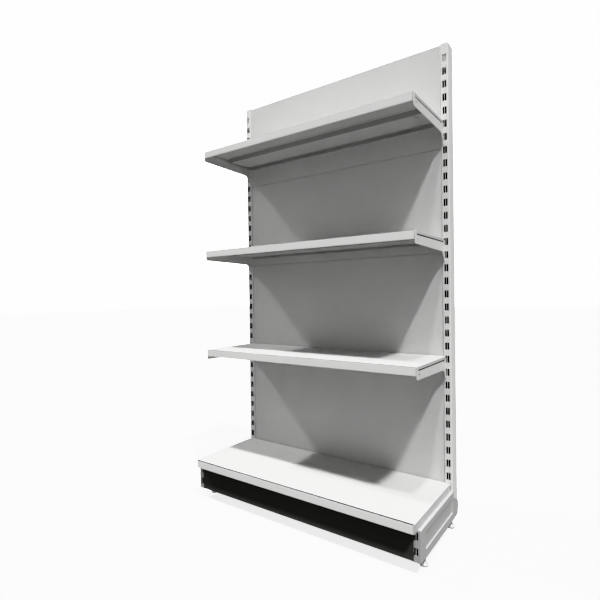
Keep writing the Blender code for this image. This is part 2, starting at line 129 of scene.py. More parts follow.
def cutter_box(name, lo, hi, r=0.0, segments=3, axis=None):
    """A box to cut with; with axis, only the edges along it are rounded."""
    a = [min(l, h) for l, h in zip(lo, hi)]
    b = [max(l, h) for l, h in zip(lo, hi)]
    if axis is not None and r:
        def along(p, q):
            return p[axis] != q[axis]
        bm = rounded_box(a, b, [(along, r, segments)])
    else:
        bm = rounded_box(a, b, all_r=r, segments=segments)
    return new_object(name, bm, work)


def cutter_rod(name, centre, radius, length, axis, sides=32):
    bm = bmesh.new()
    turn = {'X': Matrix.Rotation(pi / 2, 4, 'Y'), 'Z': Matrix.Identity(4),
            'Y': Matrix.Rotation(pi / 2, 4, 'X')}[axis]
    bmesh.ops.create_cone(bm, cap_ends=True, segments=sides, radius1=radius,
                          radius2=radius, depth=length,
                          matrix=Matrix.Translation(centre) @ turn)
    return new_object(name, bm, work)


def join_tools(name, tools):
    """One mesh holding several cutters that don't touch each other."""
    bm = bmesh.new()
    for t in tools:
        bm.from_mesh(t.data)
        bpy.data.objects.remove(t, do_unlink=True)
    return new_object(name, bm, work)


def cut(ob, tool, op='DIFFERENCE'):
    m = ob.modifiers.new("cut", 'BOOLEAN')
    m.operation = op
    m.solver = 'EXACT'
    m.object = tool
    return m


def bake(ob, weld=0.00001):
    """Applies every modifier, and drops the tools that the booleans used."""
    bpy.context.view_layer.update()
    dg = bpy.context.evaluated_depsgraph_get()
    me = bpy.data.meshes.new_from_object(ob.evaluated_get(dg))
    tools = [m.object for m in ob.modifiers if m.type == 'BOOLEAN' and m.object]
    ob.modifiers.clear()
    old = ob.data
    ob.data = me
    me.name = ob.name
    bpy.data.meshes.remove(old)
    for t in set(tools):
        bpy.data.objects.remove(t, do_unlink=True)
    bm = bmesh.new()
    bm.from_mesh(me)
    bmesh.ops.remove_doubles(bm, verts=bm.verts, dist=weld)
    bmesh.ops.dissolve_degenerate(bm, dist=weld * 0.5, edges=bm.edges)
    bmesh.ops.recalc_face_normals(bm, faces=bm.faces)
    bm.to_mesh(me)
    bm.free()
    return ob


def edge_bevel(ob, width, segments=2, angle=40):
    m = ob.modifiers.new("edges", 'BEVEL')
    m.width = width
    m.segments = segments
    m.limit_method = 'ANGLE'
    m.angle_limit = radians(angle)
    m.use_clamp_overlap = True
    m.miter_outer = 'MITER_SHARP'
    return m


def shade(ob, angle=32):
    me = ob.data
    me.polygons.foreach_set("use_smooth", [True] * len(me.polygons))
    me.set_sharp_from_angle(angle=radians(angle))
    # Large flat faces keep their own normal, so that only the bends shade softly.
    m = ob.modifiers.new("flat_faces", 'WEIGHTED_NORMAL')
    m.mode = 'FACE_AREA'
    m.weight = 50
    m.keep_sharp = True


def body_of(node):
    return frame["nodes"][node]["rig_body"]


def finish_piece(ob, node, mat, angle=32):
    ob.data.materials.clear()
    ob.data.materials.append(mat)
    for p in ob.data.polygons:
        p.material_index = 0
    shade(ob, angle)
    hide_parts(node)
    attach(ob, body_of(node))
    made.append(ob)
    return ob


def fillet(points, radii, segments=5):
    """A closed (y, z) outline with its corners rounded; radii by index or one number."""
    out = []
    n = len(points)
    for i, p in enumerate(points):
        r = radii.get(i, 0) if isinstance(radii, dict) else radii
        a, b = points[i - 1], points[(i + 1) % n]
        v1 = (a[0] - p[0], a[1] - p[1])
        v2 = (b[0] - p[0], b[1] - p[1])
        l1, l2 = sqrt(v1[0] ** 2 + v1[1] ** 2), sqrt(v2[0] ** 2 + v2[1] ** 2)
        if r <= 0 or l1 < 1e-9 or l2 < 1e-9:
            out.append(p)
            continue
        v1, v2 = (v1[0] / l1, v1[1] / l1), (v2[0] / l2, v2[1] / l2)
        dot = max(-1.0, min(1.0, v1[0] * v2[0] + v1[1] * v2[1]))
        half = atan2(sqrt(max(0, 1 - dot * dot)), dot) / 2
        if half > pi / 2 - 0.02 or half < 0.02:
            out.append(p)
            continue
        d = min(r / tan(half), l1 * 0.49, l2 * 0.49)
        r = d * tan(half)
        s = (p[0] + v1[0] * d, p[1] + v1[1] * d)
        e = (p[0] + v2[0] * d, p[1] + v2[1] * d)
        bis = (v1[0] + v2[0], v1[1] + v2[1])
        lb = sqrt(bis[0] ** 2 + bis[1] ** 2)
        h = r / sin(half)
        c = (p[0] + bis[0] / lb * h, p[1] + bis[1] / lb * h)
        a0 = atan2(s[1] - c[1], s[0] - c[0])
        a1 = atan2(e[1] - c[1], e[0] - c[0])
        da = (a1 - a0 + pi) % (2 * pi) - pi
        for k in range(segments + 1):
            t = a0 + da * k / segments
            out.append((c[0] + r * cos(t), c[1] + r * sin(t)))
    return out


def prism(name, outline, x0, x1, coll=None, rim=0.0):
    """Extrudes a (y, z) outline from x0 to x1; rim chamfers the two end loops."""
    bm = bmesh.new()
    lo, hi = min(x0, x1), max(x0, x1)
    a = [bm.verts.new((lo, y, z)) for y, z in outline]
    b = [bm.verts.new((hi, y, z)) for y, z in outline]
    fa, fb = bm.faces.new(a), bm.faces.new(list(reversed(b)))
    n = len(outline)
    for i in range(n):
        bm.faces.new((a[i], b[i], b[(i + 1) % n], a[(i + 1) % n]))
    bmesh.ops.recalc_face_normals(bm, faces=bm.faces)
    if rim:
        rims = [e for f in (fa, fb) for e in f.edges]
        bevel_edges(bm, set(rims), rim, 2)
    return new_object(name, bm, coll)


def bent_sheet(path, t, radius):
    """Outline of a sheet t thick that follows an open (y, z) path, bends rounded.

    The path is the sheet's left-hand surface; the other lies t to its right.
    """
    def offset(pts, d):
        out = []
        for i, p in enumerate(pts):
            dirs = []
            if i > 0:
                dirs.append((p[0] - pts[i - 1][0], p[1] - pts[i - 1][1]))
            if i < len(pts) - 1:
                dirs.append((pts[i + 1][0] - p[0], pts[i + 1][1] - p[1]))
            ns = []
            for v in dirs:
                length = sqrt(v[0] ** 2 + v[1] ** 2)
                ns.append((v[1] / length, -v[0] / length))
            if len(ns) == 1:
                out.append((p[0] + ns[0][0] * d, p[1] + ns[0][1] * d))
            else:
                k = 1 + ns[0][0] * ns[1][0] + ns[0][1] * ns[1][1]
                out.append((p[0] + (ns[0][0] + ns[1][0]) * d / k,
                            p[1] + (ns[0][1] + ns[1][1]) * d / k))
        return out
    n = len(path)
    other = offset(path, t)
    r1, r2 = {}, {}
    for i in range(1, n - 1):
        u = (path[i][0] - path[i - 1][0], path[i][1] - path[i - 1][1])
        w = (path[i + 1][0] - path[i][0], path[i + 1][1] - path[i][1])
        right_turn = u[0] * w[1] - u[1] * w[0] < 0
        r1[i] = radius + t if right_turn else radius
        r2[n + (n - 1 - i)] = radius if right_turn else radius + t
    r1.update(r2)
    return fillet(path + other[::-1], r1, 5)


def turned(name, profile, where, axis_turn=Matrix.Identity(4), steps=48, coll=None):
    """Solid of revolution from (radius, height) points; both ends lie on the axis."""
    bm = bmesh.new()
    rings = []
    for r, z in profile:
        if r < 1e-7:
            rings.append([bm.verts.new((0, 0, z))])
        else:
            rings.append([bm.verts.new((r * cos(2 * pi * k / steps),
                                        r * sin(2 * pi * k / steps), z))
                          for k in range(steps)])
    for p, q in zip(rings, rings[1:]):
        for k in range(steps):
            k2 = (k + 1) % steps
            if len(p) == 1 and len(q) == 1:
                continue
            if len(p) == 1:
                bm.faces.new((p[0], q[k], q[k2]))
            elif len(q) == 1:
                bm.faces.new((p[k], q[0], p[k2]))
            else:
                bm.faces.new((p[k], q[k], q[k2], p[k2]))
    bmesh.ops.transform(bm, matrix=Matrix.Translation(where) @ axis_turn, verts=bm.verts)
    return new_object(name, bm, coll)


def threaded_rod(name, where, z0, z1, r_out, pitch, axis_turn=Matrix.Identity(4),
                 depth=None, steps=28, coll=None):
    """A rod with a helical thread between z0 and z1, closed at both ends."""
    depth = depth or pitch * 0.54
    per_pitch = 6
    n = max(4, int(round((z1 - z0) / pitch * per_pitch)))
    bm = bmesh.new()
    rows = []
    for i in range(n + 1):
        z = z0 + (z1 - z0) * i / n
        ring = []
        for k in range(steps):
            a = 2 * pi * k / steps
            phase = (z / pitch - k / steps) % 1.0
            tooth = 1 - abs(phase * 2 - 1)
            tooth = min(1.0, max(0.0, (tooth - 0.1) / 0.75))
            end = min(1.0, (z - z0) / (pitch * 0.8), (z1 - z) / (pitch * 0.8))
            r = r_out - depth * (1 - tooth * max(0.0, end))
            ring.append(bm.verts.new((r * cos(a), r * sin(a), z)))
        rows.append(ring)
    for p, q in zip(rows, rows[1:]):
        for k in range(steps):
            bm.faces.new((p[k], p[(k + 1) % steps], q[(k + 1) % steps], q[k]))
    bm.faces.new(list(reversed(rows[0])))
    bm.faces.new(rows[-1])
    bmesh.ops.transform(bm, matrix=Matrix.Translation(where) @ axis_turn, verts=bm.verts)
    return new_object(name, bm, coll)


# ---- materials ------------------------------------------------------------------
def base_nodes(name):
    m = bpy.data.materials.new(name)
    m.use_nodes = True
    nt = m.node_tree
    bsdf = nt.nodes["Principled BSDF"]
    coord = nt.nodes.new("ShaderNodeTexCoord")
    return m, nt, bsdf, coord


def noise(nt, coord, scale, detail=3.0, rough=0.55, stretch=None):
    src = coord.outputs["Object"]
    if stretch:
        mp = nt.nodes.new("ShaderNodeMapping")
        mp.inputs["Scale"].default_value = stretch
        nt.links.new(src, mp.inputs["Vector"])
        src = mp.outputs["Vector"]
    n = nt.nodes.new("ShaderNodeTexNoise")
    n.inputs["Scale"].default_value = scale
    n.inputs["Detail"].default_value = detail
    n.inputs["Roughness"].default_value = rough
    nt.links.new(src, n.inputs["Vector"])
    return n


def ramp(nt, source, stops):
    r = nt.nodes.new("ShaderNodeValToRGB")
    r.color_ramp.elements[0].position = stops[0][0]
    r.color_ramp.elements[0].color = (*stops[0][1], 1)
    r.color_ramp.elements[1].position = stops[-1][0]
    r.color_ramp.elements[1].color = (*stops[-1][1], 1)
    for p, c in stops[1:-1]:
        e = r.color_ramp.elements.new(p)
        e.color = (*c, 1)
    nt.links.new(source, r.inputs["Fac"])
    return r


def map_range(nt, source, lo, hi, a=0.3, b=0.7):
    r = nt.nodes.new("ShaderNodeMapRange")
    r.inputs["From Min"].default_value = a
    r.inputs["From Max"].default_value = b
    r.inputs["To Min"].default_value = lo
    r.inputs["To Max"].default_value = hi
    nt.links.new(source, r.inputs["Value"])
    return r


def powder_coat(name, color, rough=0.42, variation=0.035, peel=0.10, dust=0.03,
                specular=0.5):
    """Powder-coated steel: slight shade drift, orange peel, uneven sheen, faint dust."""
    m, nt, bsdf, coord = base_nodes(name)
    drift = noise(nt, coord, 3.1, 4.0, 0.6)
    lo = tuple(c * (1 - variation) for c in color)
    hi = tuple(min(1.0, c * (1 + variation * 0.6)) for c in color)
    tone = ramp(nt, drift.outputs["Fac"], [(0.30, lo), (0.52, color), (0.74, hi)])
    speck = noise(nt, coord, 900.0, 2.0, 0.5)
    speck_fac = map_range(nt, speck.outputs["Fac"], 0.0, dust, 0.60, 0.80)
    mix = nt.nodes.new("ShaderNodeMix")
    mix.data_type = 'RGBA'
    mix.blend_type = 'MULTIPLY'
    nt.links.new(speck_fac.outputs["Result"], mix.inputs["Factor"])
    nt.links.new(tone.outputs["Color"], mix.inputs["A"])
    mix.inputs["B"].default_value = (0.45, 0.44, 0.42, 1)
    nt.links.new(mix.outputs["Result"], bsdf.inputs["Base Color"])
    sheen = noise(nt, coord, 11.0, 5.0, 0.65)
    rr = map_range(nt, sheen.outputs["Fac"], rough - 0.05, rough + 0.07)
    nt.links.new(rr.outputs["Result"], bsdf.inputs["Roughness"])
    peel_n = noise(nt, coord, 480.0, 2.0, 0.45)
    wave = noise(nt, coord, 26.0, 2.0, 0.5)
    b1 = nt.nodes.new("ShaderNodeBump")
    b1.inputs["Strength"].default_value = peel
    b1.inputs["Distance"].default_value = 0.0003
    nt.links.new(peel_n.outputs["Fac"], b1.inputs["Height"])
    b2 = nt.nodes.new("ShaderNodeBump")
    b2.inputs["Strength"].default_value = 0.05
    b2.inputs["Distance"].default_value = 0.0015
    nt.links.new(wave.outputs["Fac"], b2.inputs["Height"])
    nt.links.new(b1.outputs["Normal"], b2.inputs["Normal"])
    nt.links.new(b2.outputs["Normal"], bsdf.inputs["Normal"])
    bsdf.inputs["Metallic"].default_value = 0.0
    bsdf.inputs["IOR"].default_value = 1.5
    bsdf.inputs["Specular IOR Level"].default_value = specular
    return m


def plastic(name, color, rough=0.35, clear=0.0):
    m, nt, bsdf, coord = base_nodes(name)
    drift = noise(nt, coord, 60.0, 3.0, 0.5)
    tone = ramp(nt, drift.outputs["Fac"], [(0.3, tuple(c * 0.95 for c in color)),
                                          (0.7, color)])
    nt.links.new(tone.outputs["Color"], bsdf.inputs["Base Color"])
    fine = noise(nt, coord, 700.0, 2.0, 0.5)
    rr = map_range(nt, fine.outputs["Fac"], rough - 0.05, rough + 0.08)
    nt.links.new(rr.outputs["Result"], bsdf.inputs["Roughness"])
    bp = nt.nodes.new("ShaderNodeBump")
    bp.inputs["Strength"].default_value = 0.08
    bp.inputs["Distance"].default_value = 0.0002
    nt.links.new(fine.outputs["Fac"], bp.inputs["Height"])
    nt.links.new(bp.outputs["Normal"], bsdf.inputs["Normal"])
    bsdf.inputs["IOR"].default_value = 1.49
    if clear:
        bsdf.inputs["Subsurface Weight"].default_value = clear
        bsdf.inputs["Subsurface Radius"].default_value = (0.004, 0.004, 0.004)
        bsdf.inputs["Subsurface Scale"].default_value = 0.5
    return m


def zinc(name):
    m, nt, bsdf, coord = base_nodes(name)
    n1 = noise(nt, coord, 140.0, 4.0, 0.6)
    tone = ramp(nt, n1.outputs["Fac"], [(0.25, (0.50, 0.51, 0.52)), (0.55, (0.66, 0.67, 0.68)),
                                       (0.80, (0.74, 0.74, 0.72))])
    nt.links.new(tone.outputs["Color"], bsdf.inputs["Base Color"])
    n2 = noise(nt, coord, 900.0, 2.0, 0.5, (1, 1, 0.2))
    rr = map_range(nt, n2.outputs["Fac"], 0.22, 0.42)
    nt.links.new(rr.outputs["Result"], bsdf.inputs["Roughness"])
    bp = nt.nodes.new("ShaderNodeBump")
    bp.inputs["Strength"].default_value = 0.10
    bp.inputs["Distance"].default_value = 0.0001
    nt.links.new(n2.outputs["Fac"], bp.inputs["Height"])
    nt.links.new(bp.outputs["Normal"], bsdf.inputs["Normal"])
    bsdf.inputs["Metallic"].default_value = 1.0
    return m


MAT_PANEL = powder_coat("powder_coat_panel", (0.68, 0.68, 0.675), 0.45)
MAT_UPRIGHT = powder_coat("powder_coat_upright", (0.80, 0.80, 0.79), 0.38)
MAT_SHELF = powder_coat("powder_coat_shelf", (0.60, 0.60, 0.595), 0.40)
MAT_STRIP = powder_coat("powder_coat_strip", (0.84, 0.84, 0.83), 0.36)
MAT_BRACKET = powder_coat("powder_coat_bracket", (0.76, 0.76, 0.75), 0.36)
# The legs' coat is set darker than the uprights': painted shade for the light's fall-off towards the
# floor.
MAT_LEG_PAINTED_SHADE = powder_coat("powder_coat_leg", (0.50, 0.50, 0.495), 0.38)
MAT_KICK = powder_coat("powder_coat_black", (0.086, 0.086, 0.082), 0.46, 0.10, 0.12, 0.0, 0.40)
MAT_CAP = plastic("cap_plastic_white", (0.78, 0.78, 0.77), 0.40)
MAT_FOOT = plastic("foot_plastic_natural", (0.72, 0.73, 0.72), 0.32, 0.25)
MAT_ZINC = zinc("zinc_plated_steel")
# A darker copy of the coat: painted shade on pressed walls, in place of the shade they would catch.
MAT_PAINTED_WALL_SHADE = powder_coat("powder_coat_painted_wall_shade", (0.30, 0.30, 0.295), 0.48)
# Near-black painted shade, put where only shade falls: inside the uprights and their slots, in the
# sleeves' channels and in the brackets' joggles.
MAT_PAINTED_SHADE = powder_coat("painted_shade_black", (0.008, 0.008, 0.008), 0.70, 0.30, 0.10, 0.0, 0.2)


# ---- uprights: rolled tube with two slot columns -----------------------------------
def upright(side, s):
    node = f"upright_{side}"
    lo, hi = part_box(node)
    cx = (lo.x + hi.x) / 2
    w, d, t, r, seg = hi.x - lo.x, hi.y - lo.y, 0.002, 0.0032, 6
    z0, z1 = lo.z, hi.z
    bm = bmesh.new()

    def ring(off, zz):
        """Points round the tube in order: flat front first, at x in columns."""
        rr = max(r - off, 0.0008)
        xa, xb = cx - w / 2 + off, cx + w / 2 - off
        ya, yb = lo.y + off, hi.y - off
        pts = [(x, ya) for x in cols]
        for (qx, qy, a0) in ((xb - rr, ya + rr, -90), (xb - rr, yb - rr, 0),
                             (xa + rr, yb - rr, 90), (xa + rr, ya + rr, 180)):
            for k in range(seg + 1):
                a = radians(a0 + 90 * k / seg)
                pts.append((qx + rr * cos(a), qy + rr * sin(a)))
        # the first and last corner ends coincide with the outermost columns
        out = []
        for p in pts:
            if not out or (Vector(p) - Vector(out[-1])).length > 1e-7:
                out.append(p)
        if (Vector(out[0]) - Vector(out[-1])).length < 1e-7:
            out.pop()
        return [(x, y, zz) for x, y in out]

    cols = (cx - w / 2 + r, cx, cx + w / 2 - r)
    rows = [z0] + [SLOT_TOP - SLOT_H / 2 + PITCH / 2 - PITCH * k
                   for k in range(N_SLOTS, -1, -1)] + [z1]
    grids = []
    for off in (0.0, t):
        g = []
        for zz in rows:
            pts = ring(off, zz)
            g.append([bm.verts.new(p) for p in pts])
        grids.append(g)
    n = len(grids[0][0])
    sr, sseg = 0.0012, 3
    for g, off, flip in ((grids[0], 0.0, False), (grids[1], t, True)):
        y = lo.y + off
        for i in range(len(rows) - 1):
            slot_row = 0 < i < len(rows) - 2
            for j in range(n):
                j2 = (j + 1) % n
                quad = [g[i][j], g[i][j2], g[i + 1][j2], g[i + 1][j]]
                if not (slot_row and j < 2):
                    bm.faces.new(quad)
                    continue
                zc = (rows[i] + rows[i + 1]) / 2
                xc = cx + (-SLOT_DX if j == 0 else SLOT_DX)
                loop = []
                grow = 0.00025                       # the rim's small rounding
                for gi in (0, 1):
                    e = grow if gi == 0 else 0.0
                    hx, hz, rr = SLOT_W / 2 + 0.0002 + e, SLOT_H / 2 + e, sr + e
                    pts = []
                    for sx, sz, a0 in ((1, -1, -90), (1, 1, 0), (-1, 1, 90), (-1, -1, 180)):
                        for k in range(sseg + 1):
                            a = radians(a0 + 90 * k / sseg)
                            pts.append((xc + sx * (hx - rr) + rr * cos(a),
                                        y + (0 if gi == 0 else (grow if not flip else -grow)),
                                        zc + sz * (hz - rr) + rr * sin(a)))
                    loop.append([bm.verts.new(p) for p in pts])
                rim, neck = loop
                m = sseg + 1
                h = m // 2
                # rim order: bottom right, top right, top left, bottom left corners
                def span(a, b):
                    out, k = [], a
                    while True:
                        out.append(rim[k % (4 * m)])
                        if k % (4 * m) == b % (4 * m):
                            return out
                        k += 1
                br, tr, tl, bl = h, m + h, 2 * m + h, 3 * m + h
                q = quad                              # bl, br, tr, tl of the cell
                bm.faces.new([q[1], q[2]] + span(br, tr)[::-1])
                bm.faces.new([q[2], q[3]] + span(tr, tl)[::-1])
                bm.faces.new([q[3], q[0]] + span(tl, bl)[::-1])
                bm.faces.new([q[0], q[1]] + span(bl, br)[::-1])
                for k in range(4 * m):
                    k2 = (k + 1) % (4 * m)
                    bm.faces.new((rim[k], rim[k2], neck[k2], neck[k]))
                slots_at.setdefault((i, j), []).append(neck)
    for key, (front, back) in slots_at.items():
        for k in range(len(front)):
            k2 = (k + 1) % len(front)
            bm.faces.new((front[k], front[k2], back[k2], back[k]))
    for zi in (0, -1):
        a, b = grids[0][zi], grids[1][zi]
        for j in range(n):
            j2 = (j + 1) % n
            bm.faces.new((a[j], a[j2], b[j2], b[j]))
    ob = new_object(f"vis_{node}", bm)
    xi = cx - s * w / 2
    bolt_nodes = [f"beam_top_bolt_{side}", f"beam_bottom_bolt_{side}", f"leg_bolt_{side}"]
    tools = []
    for b in bolt_nodes:
        blo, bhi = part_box(b)
        tools.append(cutter_rod("hole", (xi, (blo.y + bhi.y) / 2, (blo.z + bhi.z) / 2),
                                0.0043, 0.008, 'X', 24))
    cut(ob, join_tools("holes", tools))
    bake(ob)
    finish_piece(ob, node, MAT_UPRIGHT, 35)
    # The tube's inside is bare steel; it and the slots' cut walls are painted near-black here, a
    # painted shade that keeps the slots dark.
    ob.data.materials.append(MAT_PAINTED_SHADE)
    for p in ob.data.polygons:
        c = p.center
        inside = (abs(c.x - cx) < w / 2 - t + 0.0001 and
                  lo.y + 0.0004 < c.y < hi.y - t + 0.0001)
        if inside:
            p.material_index = 1


def cap(side, s):
    node = f"upright_cap_{side}"
    lo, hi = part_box(node)
    lid_z = up_hi.z + GAP
    bm = rounded_box((lo.x, lo.y, lid_z), (hi.x, hi.y, hi.z), [
        (lambda p, q: p.z != q.z, 0.0032, 6),
    ])
    top = [e for e in bm.edges if all(abs(v.co.z - hi.z) < 1e-6 for v in e.verts)]
    bevel_edges(bm, top, 0.0016, 4)
    ob = new_object(f"vis_{node}", bm)
    t = 0.002
    plug = new_object("plug", rounded_box(
        (lo.x + t + GAP, lo.y + t + GAP, lo.z), (hi.x - t - GAP, hi.y - t - GAP, lid_z + 0.002),
        [(lambda p, q: p.z != q.z or (p.z < 0 and q.z < 0), 0.0011, 3)]), work)
    cut(ob, plug, 'UNION')
    core = cutter_box("core", (lo.x + 0.0043, lo.y + 0.0043, lo.z - 0.01),
                      (hi.x - 0.0043, hi.y - 0.0043, up_hi.z - 0.002), 0.0012, 3, 2)
    cut(ob, core)
    # A shallow moulded recess in the lid's top.
    rec = cutter_box("recess", (lo.x + 0.005, lo.y + 0.005, hi.z - 0.0005),
                     (hi.x - 0.005, hi.y - 0.005, hi.z + 0.003), 0.0025, 5, 2)
    cut(ob, rec)
    bake(ob)
    finish_piece(ob, node, MAT_CAP, 40)


# ---- base legs -----------------------------------------------------------------------
def leg(side, s):
    node = f"base_leg_{side}"
    lo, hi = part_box(node)
    cx = (lo.x + hi.x) / 2
    half = (hi.x - lo.x) / 2
    t = 0.0017
    yf, yr, zb, zt = lo.y, hi.y, lo.z, hi.z
    ysleeve = Y0 + 0.006
    outline = [(yf, zt), (yf, zb), (yr, zb), (yr, 0.096), (ysleeve, 0.128), (ysleeve, zt)]
    pts = fillet(outline, {0: 0.002, 1: 0.003, 2: 0.022, 3: 0.004, 4: 0.003}, 8)
    ob = prism(f"vis_{node}", pts, cx - half, cx + half)
    bm = bmesh.new()
    bm.from_mesh(ob.data)
    rims = [e for e in bm.edges
            if abs(e.verts[0].co.x - e.verts[1].co.x) < 1e-7
            and abs(abs(e.verts[0].co.x - cx) - half) < 1e-6
            and not all(abs(v.co.y - yr) < 1e-5 for v in e.verts)]
    bevel_edges(bm, rims, 0.0022, 4)
    bm.to_mesh(ob.data)
    bm.free()
    bore = fillet([(yf + t, zt - t), (yf + t, zb + t), (yr - t, zb + t), (yr - t, 0.2),
                   (Y0 - GAP, 0.2), (Y0 - GAP, zt - t)],
                  {0: 0.001, 1: 0.0015, 2: 0.020}, 8)
    cut(ob, prism("bore", bore, cx - half + t, cx + half - t, work))
    ox = cx + s * half
    pad = cutter_box("pad", (ox - s * 0.0058, Y0 - 0.306, 0.066),
                     (ox - s * 0.0008, Y0 - 0.0035, 0.131), 0.0012, 2)
    cut(ob, pad, 'UNION')
    bake(ob)
    # The pressed panel: drafted walls and rounded corners.
    bm = bmesh.new()
    depth = 0.004
    levels = []
    for x_off, inset, r in ((-0.004, -0.006, 0.010), (0.0, -0.001, 0.008), (0.0006, 0.0002, 0.0075),
                            (depth - 0.0005, 0.0030, 0.0055), (depth, 0.0038, 0.005)):
        ya, yb = Y0 - 0.301 + inset, Y0 - 0.008 - inset
        za, zc = 0.071 + inset, 0.126 - inset
        loop = fillet([(ya, za), (yb, za), (yb, zc), (ya, zc)], r, 5)
        levels.append([bm.verts.new((ox - s * x_off, y, z)) for y, z in loop])
    for a, b in zip(levels, levels[1:]):
        for k in range(len(a)):
            k2 = (k + 1) % len(a)
            bm.faces.new((a[k], a[k2], b[k2], b[k]))
    bm.faces.new(levels[0])
    bm.faces.new(levels[-1][::-1])
    bake(ob)
    cut(ob, new_object("pocket", bm, work))
    tools = []
    for top in (0.141, 0.091):
        for dx in (-SLOT_DX, SLOT_DX):
            tools.append(cutter_box("slot", (cx + dx - SLOT_W / 2, yf - 0.004, top - 0.025),
                                    (cx + dx + SLOT_W / 2, yf + 0.004, top), 0.0012, 3, 1))
    for place in ("front", "rear"):
        flo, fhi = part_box(f"foot_stem_{place}_{side}")
        tools.append(cutter_rod("stem_hole", ((flo.x + fhi.x) / 2, (flo.y + fhi.y) / 2, zb),
                                0.0054, 0.012, 'Z', 32))
    blo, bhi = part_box(f"leg_bolt_{side}")
    tools.append(cutter_rod("bolt_hole", (cx - s * half, (blo.y + bhi.y) / 2,
                                          (blo.z + bhi.z) / 2), 0.0043, 0.008, 'X', 24))
    cut(ob, join_tools("openings", tools))
    bake(ob)
    finish_piece(ob, node, MAT_LEG_PAINTED_SHADE, 35)
    # The pressing's down-facing upper wall is painted darker: painted shade.
    ob.data.materials.append(MAT_PAINTED_WALL_SHADE)
    for p in ob.data.polygons:
        c = p.center
        if (p.normal.z < -0.35 and abs(c.x - ox) < 0.0045 and 0.1 < c.z < 0.131 and
                Y0 - 0.306 < c.y < Y0 - 0.004):
            p.material_index = 1


# ---- screws, nuts, studs and feet ---------------------------------------------------------
def x_axis(s):
    """Turns +Z to point along s * X."""
    return Matrix.Rotation(s * pi / 2, 4, 'Y')


def bolt(node, s, head_r=0.0065, head_h=0.005, shank_r=0.004):
    """Pan head with a hexagon socket; the head lies on the bay's side."""
    lo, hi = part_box(node)
    y, z = (lo.y + hi.y) / 2, (lo.z + hi.z) / 2
    length = hi.x - lo.x
    # The head's top is the end nearer the bay's middle.
    top_x = lo.x if s > 0 else hi.x
    turn = x_axis(-s)
    where = (top_x, y, z)
    prof = [(0, 0), (head_r * 0.62, 0), (head_r * 0.72, -0.00015)]
    for k in range(1, 8):
        a = radians(90 * k / 8)
        prof.append((head_r * 0.72 + head_r * 0.26 * sin(a), -head_h * 0.62 * (1 - cos(a)) - 0.00015))
    prof += [(head_r, -head_h * 0.72), (head_r, -head_h + 0.0006), (head_r - 0.0004, -head_h + 0.0003),
             (shank_r + 0.0003, -head_h + 0.0003), (shank_r, -head_h),
             (shank_r, -head_h - 0.0012), (0, -head_h - 0.0012)]
    ob = turned(f"vis_{node}", prof, where, turn, 40)
    bm = bmesh.new()
    bmesh.ops.create_cone(bm, cap_ends=True, segments=6, radius1=0.0024, radius2=0.0024,
                          depth=0.0058, matrix=Matrix.Translation(where) @ turn)
    cut(ob, new_object("socket", bm, work))
    rod = threaded_rod("shank", where, -length, -head_h - 0.0004, shank_r, 0.00125, turn,
                       steps=24, coll=work)
    cut(ob, rod, 'UNION')
    bake(ob, 0.000004)
    finish_piece(ob, node, MAT_ZINC, 40)


def stud(node, s):
    lo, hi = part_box(node)
    y, z = (lo.y + hi.y) / 2, (lo.z + hi.z) / 2
    outer = hi.x if s > 0 else lo.x
    r = (hi.y - lo.y) / 2
    length = hi.x - lo.x
    face = -0.0022 + 0.0013
    prof = [(0, 0)]
    for k in range(1, 9):
        a = radians(90 * k / 8)
        prof.append((r * sin(a), -0.0019 * (1 - cos(a))))
    prof += [(r * 0.985, face - 0.0010 + 0.00005), (0.0020, face - 0.00105), (0.0020, -length + 0.0002),
             (0.0018, -length), (0, -length)]
    ob = turned(f"vis_{node}", prof, (outer, y, z), x_axis(s), 32)
    bake(ob)
    finish_piece(ob, node, MAT_ZINC, 40)


